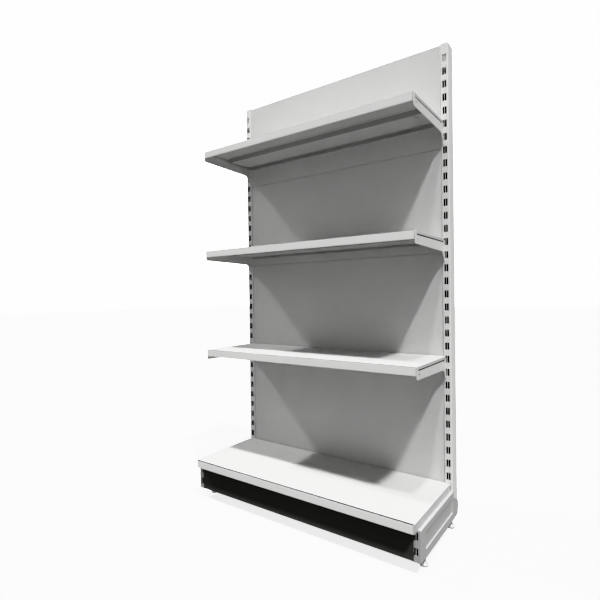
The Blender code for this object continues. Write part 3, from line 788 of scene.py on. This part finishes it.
def foot(place, side):
    pad = f"foot_pad_{place}_{side}"
    lo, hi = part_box(pad)
    c = ((lo.x + hi.x) / 2, (lo.y + hi.y) / 2, 0.0)
    prof = [(0, 0.009), (0.0054, 0.009), (0.0054, 0.0139), (0.0058, 0.0145), (0.0080, 0.0145),
            (0.0086, 0.0142), (0.0092, 0.0130), (0.0101, 0.0115), (0.0115, 0.0101),
            (0.0132, 0.0089), (0.0143, 0.0078), (0.01495, 0.0066), (0.0150, 0.0060),
            (0.0150, 0.0018), (0.0147, 0.0008), (0.0138, 0.0), (0, 0.0)]
    ob = turned(f"vis_{pad}", prof, c, steps=64)
    ribs = []
    for k in range(8):
        a = 2 * pi * k / 8
        ribs.append(cutter_rod("notch", (c[0] + 0.0162 * cos(a), c[1] + 0.0162 * sin(a), 0.006),
                               0.0019, 0.02, 'Z', 20))
    cut(ob, join_tools("notches", ribs))
    bake(ob)
    finish_piece(ob, pad, MAT_FOOT, 40)

    stem = f"foot_stem_{place}_{side}"
    slo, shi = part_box(stem)
    ob = threaded_rod(f"vis_{stem}", c, slo.z, shi.z, (shi.x - slo.x) / 2, 0.0015, steps=32)
    bake(ob, 0.000004)
    finish_piece(ob, stem, MAT_ZINC, 45)

    nut = f"foot_nut_{place}_{side}"
    nlo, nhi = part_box(nut)
    h = nhi.z - nlo.z
    across = (nhi.y - nlo.y) / 2
    bm = bmesh.new()
    bmesh.ops.create_cone(bm, cap_ends=True, segments=6, radius1=across, radius2=across, depth=h,
                          matrix=Matrix.Translation((c[0], c[1], (nlo.z + nhi.z) / 2)))
    ob = new_object(f"vis_{nut}", bm)
    # match the CAD nut's turn: its corners lie along Y or X
    wide_y = (nhi.y - nlo.y) > (nhi.x - nlo.x)
    xs = max(v.co.x for v in ob.data.vertices) - c[0]
    ys = max(v.co.y for v in ob.data.vertices) - c[1]
    if (ys > xs) != wide_y:
        ob.data.transform(Matrix.Translation(c) @ Matrix.Rotation(radians(30), 4, 'Z')
                          @ Matrix.Translation((-c[0], -c[1], 0)))
    cham = turned("chamfer", [(0, nlo.z), (across * 0.90, nlo.z), (across + 0.0002, nlo.z + 0.0010),
                              (across + 0.0002, nhi.z - 0.0010), (across * 0.90, nhi.z),
                              (0, nhi.z)], (c[0], c[1], 0), steps=48, coll=work)
    cut(ob, cham, 'INTERSECT')
    bore = turned("bore", [(0, nlo.z - 0.002), (0.0062, nlo.z - 0.002), (0.0062, nlo.z + 0.0001),
                           (0.0053, nlo.z + 0.0009), (0.0053, nhi.z - 0.0009),
                           (0.0062, nhi.z - 0.0001), (0.0062, nhi.z + 0.002), (0, nhi.z + 0.002)],
                  (c[0], c[1], 0), steps=32, coll=work)
    cut(ob, bore)
    bake(ob)
    finish_piece(ob, nut, MAT_ZINC, 30)


# ---- back panels --------------------------------------------------------------------------
def panel(i):
    node = f"back_panel_{i}"
    lo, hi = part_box(node)
    t, r = 0.0012, 0.0022
    front = lambda p, q: p.y < 0 and q.y < 0
    upright_edges = lambda p, q: p.y != q.y
    ob = new_object(f"vis_{node}", rounded_box(lo, hi, [(front, r, 4)]))
    inner = new_object("inner", rounded_box(
        (lo.x + t, lo.y + t, lo.z + t), (hi.x - t, hi.y + 0.01, hi.z - t),
        [(front, r - t, 3)]), work)
    cut(ob, inner)
    # A return lip along the rear of the top and bottom edges.
    lips = []
    for z, k, neighbour in ((lo.z, 1, i + 1), (hi.z, -1, i - 1)):
        edge = -0.0004
        if 1 <= neighbour <= 4:
            # Neighbouring lips all but meet behind the seam, so it stays dark.
            nlo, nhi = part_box(f"back_panel_{neighbour}")
            edge = abs(z - (nhi.z if k > 0 else nlo.z)) / 2 - 0.0001
        lips.append(cutter_box("lip", (lo.x + 0.004, hi.y - t, z - k * edge),
                               (hi.x - 0.004, hi.y - 0.00002, z + k * 0.009), 0.0002, 2))
    cut(ob, join_tools("lips", lips), 'UNION')
    # Slits where the edges meet at the corners.
    slits = []
    for sx in (-1, 1):
        for z, k in ((lo.z, 1), (hi.z, -1)):
            x = hi.x if sx > 0 else lo.x
            slits.append(cutter_box("slit", (x - sx * 0.0030, lo.y + 0.004, z - k * 0.002),
                                    (x - sx * 0.0024, hi.y + 0.002, z + k * (t + 0.0006))))
    cut(ob, join_tools("slits", slits))
    bake(ob)
    finish_piece(ob, node, MAT_PANEL, 35)


def tie_beam(node):
    lo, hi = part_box(node)
    t, r = 0.0015, 0.0028
    front = lambda p, q: p.y < 0 and q.y < 0
    ob = new_object(f"vis_{node}", rounded_box(lo, hi, [(front, r, 4)]))
    inner = new_object("inner", rounded_box(
        (lo.x + t, lo.y + t, lo.z + t), (hi.x - t, hi.y + 0.01, hi.z - t),
        [(front, r - t, 3)]), work)
    cut(ob, inner)
    tools = []
    for side, s in SIDES:
        name = f"{node.replace('tie_', '')}_bolt_{side}"
        blo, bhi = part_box(name)
        x = hi.x if s > 0 else lo.x
        tools.append(cutter_rod("hole", (x, (blo.y + bhi.y) / 2, (blo.z + bhi.z) / 2),
                                0.0043, 0.006, 'X', 24))
    for k in range(-2, 3):
        tools.append(cutter_rod("web_hole", (k * 0.2, lo.y, (lo.z + hi.z) / 2), 0.0045, 0.008,
                                'Y', 24))
    cut(ob, join_tools("holes", tools))
    bake(ob)
    finish_piece(ob, node, MAT_UPRIGHT, 35)


# ---- folded trays -------------------------------------------------------------------------
def tray(node, t, side_h, front_h, rear_h, mat, clear=None, horn=0.0175, r=0.0024):
    lo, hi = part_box(node)
    deep = hi.z - lo.z
    top_edges = lambda p, q: p.z > 0 and q.z > 0
    corner_edges = lambda p, q: p.z != q.z
    bm = rounded_box(lo, hi, [(corner_edges, 0.0012, 2)])
    tops = [e for e in bm.edges if all(abs(v.co.z - hi.z) < 1e-6 for v in e.verts)]
    bevel_edges(bm, tops, r, 4)
    ob = new_object(f"vis_{node}", bm)
    bm = rounded_box((lo.x + t, lo.y + t, lo.z - 0.01), (hi.x - t, hi.y - t, hi.z - t),
                     [(top_edges, r - t, 3)])
    cut(ob, new_object("inside", bm, work))
    tools = []
    if side_h < deep - 1e-5:
        tools.append(cutter_box("sides", (lo.x - 0.01, lo.y + t + 0.0005, lo.z - 0.01),
                                (hi.x + 0.01, hi.y - t - 0.0005 if rear_h > side_h
                                 else hi.y + 0.01, hi.z - side_h)))
        cut(ob, tools.pop())
    if side_h < rear_h < deep - 1e-5:
        cut(ob, cutter_box("rear", (lo.x - 0.01, hi.y - 0.006, lo.z - 0.01),
                           (hi.x + 0.01, hi.y + 0.01, hi.z - rear_h)))
    if clear:
        low = lo.z - 0.02
        horns, rears = [], []
        for sx in (-1, 1):
            xe = hi.x if sx > 0 else lo.x
            horns.append(cutter_box("horn", (sx * clear, lo.y - 0.01, low),
                                    (xe + sx * 0.01, lo.y + horn, hi.z - t)))
            rears.append(cutter_box("rear_corner", (sx * clear, Y0 - 0.0060, low),
                                    (xe + sx * 0.01, hi.y + 0.01, hi.z + 0.01)))
        cut(ob, join_tools("horns", horns))
        cut(ob, join_tools("rears", rears))
        feet = [cutter_box("rear_foot", (sx * clear, hi.y - 0.013, low),
                           ((hi.x + 0.01) * sx, Y0 - 0.004, hi.z - side_h)) for sx in (-1, 1)]
        cut(ob, join_tools("feet", feet))
    # Lips turned in along the lower edges of the front and rear flanges.
    xin = (clear or hi.x) - 0.004
    lips = [cutter_box("front_lip", (-xin, lo.y + 0.0003, lo.z + 0.00002 + (deep - front_h)),
                       (xin, lo.y + 0.011, lo.z + t + (deep - front_h)), 0.0003, 2),
            cutter_box("rear_lip", (-xin, hi.y - 0.0085, hi.z - rear_h + 0.00002),
                       (xin, hi.y - 0.0003, hi.z - rear_h + t), 0.0003, 2)]
    cut(ob, join_tools("lips", lips), 'UNION')
    # Corner slits where the flanges meet.
    slits = []
    for sx in (-1, 1):
        xe = hi.x if sx > 0 else lo.x
        for y, k in ((lo.y, 1), (hi.y, -1)):
            if clear and k == 1:
                continue
            slits.append(cutter_box("slit", (xe + sx * 0.004, y + k * 0.0020, lo.z - 0.01),
                                    (xe - sx * 0.0021, y + k * 0.0026, hi.z - 0.0045)))
    cut(ob, join_tools("slits", slits))
    bake(ob)
    finish_piece(ob, node, mat, 35)
    return ob


def hat(node, y_mid, z_under, brim, crown, run, deep, mat, holes=()):
    lo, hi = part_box(node)
    t, top = 0.001, z_under - GAP
    path = [(y_mid + y, top + z) for y, z in
            ((-brim, 0), (-crown, 0), (-crown + run, -deep + t), (crown - run, -deep + t),
             (crown, 0), (brim, 0))]
    pts = bent_sheet(path, t, 0.0012)
    pts = [(min(max(y, lo.y), hi.y), min(max(z, lo.z), hi.z)) for y, z in pts]
    ob = prism(f"vis_{node}", pts, lo.x, hi.x)
    if holes:
        tools = [cutter_rod("hole", (x, y, z_under - deep), 0.0045, 0.02, 'Z', 24)
                 for x, y in holes]
        cut(ob, join_tools("holes", tools))
    bake(ob)
    finish_piece(ob, node, mat, 30)
    if holes:
        # The pressed side walls are painted darker than the flats: painted shade.
        ob.data.materials.append(MAT_PAINTED_WALL_SHADE)
        for p in ob.data.polygons:
            if abs(p.normal.x) < 0.3 and p.normal.z < 0.2 and abs(p.normal.y) > 0.2:
                p.material_index = 1


def strip(node, mat, drop):
    """Ticket sleeve: back plate and flat front plate, joined along the bottom by a bend."""
    lo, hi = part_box(node)
    yb, yf, zt, zb = hi.y, lo.y, hi.z, lo.z
    t = 0.0010
    lip = zt - drop
    outline = [(yb, zt), (yb, zb), (yf, zb), (yf, lip), (yf + t, lip), (yf + t, zb + t + 0.0002),
               (yb - t, zb + t + 0.0002), (yb - t, zt)]
    pts = fillet(outline, {0: 0.00035, 1: 0.0012, 2: 0.0013, 3: 0.00045, 4: 0.0003, 5: 0.0004,
                           6: 0.0004, 7: 0.00035}, 6)
    ob = prism(f"vis_{node}", pts, lo.x, hi.x)
    bake(ob)
    finish_piece(ob, node, mat, 35)
    # The channel's inside is painted near-black: a painted shadow line inside the sleeve.
    ob.data.materials.append(MAT_PAINTED_SHADE)
    for p in ob.data.polygons:
        c = p.center
        if abs(p.normal.x) < 0.5 and yf + t * 0.6 < c.y < yb - 0.0001 and c.z > zb + t * 0.9:
            p.material_index = 1


def bracket(node, s):
    """Pressed plate from the CAD outline, with rounded profile corners and rims."""
    src = frame["nodes"][node]
    lo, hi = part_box(node)
    n = node.split("_")[1]
    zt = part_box(f"shelf_tray_{n}")[1].z
    a, b = SLOT_H - 0.002, PITCH + SLOT_H - 0.002
    s1, s2 = -a + GAP, -b + GAP
    rear = -0.0004
    depth = Y0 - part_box(f"shelf_tray_{n}")[0].y
    tray_t = 0.0012
    seat = -0.011 - GAP
    front = -depth + 0.0004
    pts = [(front, -tray_t - GAP), (front, -0.0405), (front + 0.0035, -0.0445),
           (-0.0400, -0.0500), (-0.0310, -0.0512), (-0.0240, -0.0548),
           (-0.0185, -0.0610), (-0.0140, -0.0690), (-0.0095, -0.0772),
           (-0.0055, -0.0832), (rear, -0.0880),
           (rear, s2), (0.0023, s2), (0.0023, s2 - 0.0068), (0.0050, s2 - 0.0055),
           (0.0050, s2 + 0.0165), (0.0035, s2 + 0.0185), (rear, s2 + 0.0185),
           (rear, s1), (0.0023, s1), (0.0023, s1 - 0.0068), (0.0050, s1 - 0.0055),
           (0.0050, s1 + 0.0165), (0.0035, s1 + 0.0185), (-0.0054, s1 + 0.0185),
           (-0.0054, seat), (front + 0.016, seat), (front + 0.016, -tray_t - GAP)]
    radii = {0: 0.0008, 1: 0.003, 2: 0.004, 3: 0.02, 4: 0.012, 5: 0.012, 6: 0.02, 7: 0.02,
             8: 0.02, 9: 0.008, 10: 0.0002, 13: 0.0008, 14: 0.0008, 15: 0.001, 16: 0.001,
             20: 0.0008, 21: 0.0008, 22: 0.001, 23: 0.001, 24: 0.0006, 26: 0.0004, 27: 0.0008}
    out = fillet([(Y0 + y, zt + z) for y, z in pts], radii, 5)
    ob = prism(f"vis_{node}", out, lo.x, hi.x, rim=0.00028)
    slo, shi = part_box(f"bracket_stud_{n}_{'right' if s > 0 else 'left'}")
    cut(ob, cutter_rod("hole", ((lo.x + hi.x) / 2, (slo.y + shi.y) / 2, (slo.z + shi.z) / 2),
                       0.0023, 0.01, 'X', 24))
    # A joggle along the top edge; its faces are painted near-black below, a painted shadow line under
    # the tray's side flange.
    outer, inner = (hi.x, lo.x) if s > 0 else (lo.x, hi.x)
    web = inner + s * 0.0005
    ya, yb = Y0 + front + 0.0145, Y0 - 0.0200
    groove = seat + zt - 0.0040
    cut(ob, cutter_box("joggle", (web, ya, groove), (outer + s * 0.002, yb, zt + 0.003)))
    bake(ob)
    finish_piece(ob, node, MAT_BRACKET, 30)
    # The joggle's faces are painted near-black: painted shadow.
    ob.data.materials.append(MAT_PAINTED_SHADE)
    for p in ob.data.polygons:
        c = p.center
        if (ya - 0.0001 < c.y < yb + 0.0001 and c.z > groove - 0.0001 and
                s * (outer - c.x) > 0.0002):
            p.material_index = 1


def kick_plate():
    node = "kick_plate"
    lo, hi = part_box(node)
    yk = Y0 - 0.342 - GAP
    zb, zt, t = 0.045, 0.146, 0.0012
    path = [(yk + 0.012, zt), (yk - t, zt), (yk - t - 0.0035, zt - 0.029),
            (yk - t, zt - 0.033), (yk - t, zb), (yk + 0.012, zb)]
    outline = path + [(yk + 0.012, zb + t), (yk, zb + t), (yk, zt - 0.0335),
                      (yk - 0.0032, zt - 0.0293), (yk, zt - t), (yk + 0.012, zt - t)]
    pts = fillet(outline, {1: 0.0020, 2: 0.0035, 3: 0.003, 4: 0.0022, 7: 0.0010, 8: 0.002,
                           9: 0.0025, 10: 0.0008}, 5)
    ob = prism(f"vis_{node}", pts, -0.492, 0.492)
    leg_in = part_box("base_leg_right")[0].x - GAP
    ends = [cutter_box("end", (sx * leg_in, yk + 0.0001, 0), (sx * 0.51, yk + 0.02, 0.2))
            for sx in (-1, 1)]
    cut(ob, join_tools("ends", ends))
    webs, hooks = [], []
    for row, slot_top in enumerate((0.141, 0.091)):
        z_seat = slot_top - 0.025 + GAP
        for side, s in SIDES:
            web_front = yk - 0.0030 if row == 0 else yk - t + 0.0002
            webs.append(cutter_box("web", (s * 0.488, web_front, z_seat),
                                   (s * 0.4954, yk - 0.0001, z_seat + 0.011)))
            o = [(yk - 0.0004, z_seat), (yk + 0.0017 + 2 * GAP, z_seat),
                 (yk + 0.0017 + 2 * GAP, z_seat - 0.006), (yk + 0.0045, z_seat - 0.005),
                 (yk + 0.0045, z_seat + 0.009), (yk - 0.0004, z_seat + 0.0105)]
            o = fillet(o, {2: 0.0006, 3: 0.0008, 4: 0.002}, 4)
            hooks.append(prism("hook", o, s * 0.4943, s * 0.4953, work))
    cut(ob, join_tools("webs", webs), 'UNION')
    cut(ob, join_tools("hooks", hooks), 'UNION')
    bake(ob)
    finish_piece(ob, node, MAT_KICK, 35)


# ---- build every piece ----------------------------------------------------------------------
for side, s in SIDES:
    slots_at = {}
    upright(side, s)
    cap(side, s)
    leg(side, s)
    bolt(f"leg_bolt_{side}", s)
    for b in ("top", "bottom"):
        bolt(f"beam_{b}_bolt_{side}", s)
    for place in ("front", "rear"):
        foot(place, side)
for i in range(1, 5):
    panel(i)
for b in ("top", "bottom"):
    tie_beam(f"tie_beam_{b}")

d_lo, d_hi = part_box("base_deck")
tray("base_deck", 0.0015, 0.0297, 0.0335, 0.0297, MAT_SHELF, r=0.0019)
for n, y in (("front", -0.255), ("rear", -0.115)):
    hat(f"deck_stiffener_{n}", Y0 + y, d_hi.z - 0.0015, 0.035, 0.0206, 0.0047, 0.016, MAT_SHELF)
strip("base_price_strip", MAT_STRIP, 0.0026)
for n in (1, 2, 3):
    t_lo, t_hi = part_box(f"shelf_tray_{n}")
    b_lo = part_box(f"bracket_{n}_right")[0].x
    tray(f"shelf_tray_{n}", 0.0012, 0.011, 0.0295, 0.020, MAT_SHELF, clear=b_lo - 0.0004,
         r=0.0016)
    hat(f"shelf_stiffener_{n}", Y0 - 0.098, t_hi.z - 0.0012, 0.084, 0.074, 0.022, 0.013, MAT_SHELF,
        [(sx * x, Y0 + y) for sx in (-1, 1) for x, y in ((0.434, -0.138), (0.438, -0.124),
                                                         (0.362, -0.138))])
    strip(f"price_strip_{n}", MAT_STRIP, 0.0013)
    for side, s in SIDES:
        bracket(f"bracket_{n}_{side}", s)
        stud(f"bracket_stud_{n}_{side}", s)
kick_plate()


# ---- camera -----------------------------------------------------------------------------------
F_PX, YAW, PITCH_A, ROLL = 443.11, 0.6211, -0.0092, -0.0141
C = Vector((1.0301, -1.7047 + Y0, -0.9133 + 1.820))
fwd0, right0, up0 = (Vector((-sin(YAW), cos(YAW), 0)), Vector((cos(YAW), sin(YAW), 0)),
                     Vector((0, 0, 1)))
fwd = fwd0 * cos(PITCH_A) + up0 * sin(PITCH_A)
up1 = -fwd0 * sin(PITCH_A) + up0 * cos(PITCH_A)
right = right0 * cos(ROLL) + up1 * sin(ROLL)
up = -right0 * sin(ROLL) + up1 * cos(ROLL)
cam_data = bpy.data.cameras.new("camera")
cam_data.sensor_width = 36.0
cam_data.lens = F_PX / 600 * 36.0
cam_data.clip_start = 0.05
cam = bpy.data.objects.new("camera", cam_data)
cam.matrix_world = Matrix((
    (right.x, up.x, -fwd.x, C.x), (right.y, up.y, -fwd.y, C.y),
    (right.z, up.z, -fwd.z, C.z), (0, 0, 0, 1)))
scene.collection.objects.link(cam)
scene.camera = cam

# ---- floor, backdrop, world and lights --------------------------------------------------------------
bm = bmesh.new()
bmesh.ops.create_grid(bm, x_segments=8, y_segments=8, size=30.0)
floor = new_object("floor", bm)
m, nt, bsdf, coord = base_nodes("floor_pale")
fn = noise(nt, coord, 2.0, 2.0, 0.5)
tone = ramp(nt, fn.outputs["Fac"], [(0.3, (0.86, 0.86, 0.86)), (0.7, (0.88, 0.88, 0.88))])
nt.links.new(tone.outputs["Color"], bsdf.inputs["Base Color"])
bsdf.inputs["Roughness"].default_value = 0.8
bsdf.inputs["Emission Color"].default_value = (1.0, 1.0, 1.0, 1)
bsdf.inputs["Emission Strength"].default_value = 0.78
floor.data.materials.append(m)
floor.visible_glossy = False
floor.visible_diffuse = False           # keeps the floor's bounce off the undersides

world = bpy.data.worlds.new("world")
scene.world = world
world.use_nodes = True
bg = world.node_tree.nodes["Background"]
bg.inputs["Color"].default_value = (1.0, 1.0, 1.0, 1)
bg.inputs["Strength"].default_value = 0.27


def sun(name, towards, power, softness):
    """A distant light; towards points from the object to the light."""
    data = bpy.data.lights.new(name, 'SUN')
    data.energy = power
    data.angle = radians(softness)
    ob = bpy.data.objects.new(name, data)
    ob.rotation_euler = Vector(towards).to_track_quat('Z', 'Y').to_euler()
    ob.location = Vector(towards) * 4
    scene.collection.objects.link(ob)
    return ob


sun("key_left", (-0.88, -0.22, 1.0), 2.0, 3.0)
sun("key_right", (0.48, -0.30, 1.0), 3.6, 4.5)
sun("top_right", (0.16, -0.30, 1.0), 1.4, 3.0)

# A white backdrop all round, far off.
bm = bmesh.new()
bmesh.ops.create_icosphere(bm, subdivisions=5, radius=44.0)
backdrop = new_object("backdrop", bm)
m = bpy.data.materials.new("backdrop_white")
m.use_nodes = True
nt = m.node_tree
nt.nodes.remove(nt.nodes["Principled BSDF"])
em = nt.nodes.new("ShaderNodeEmission")
em.inputs["Strength"].default_value = 6.0
nt.links.new(em.outputs["Emission"], nt.nodes["Material Output"].inputs["Surface"])
backdrop.data.materials.append(m)
backdrop.visible_diffuse = False
backdrop.visible_glossy = False
backdrop.visible_shadow = False

scene.view_settings.view_transform = 'Khronos PBR Neutral'
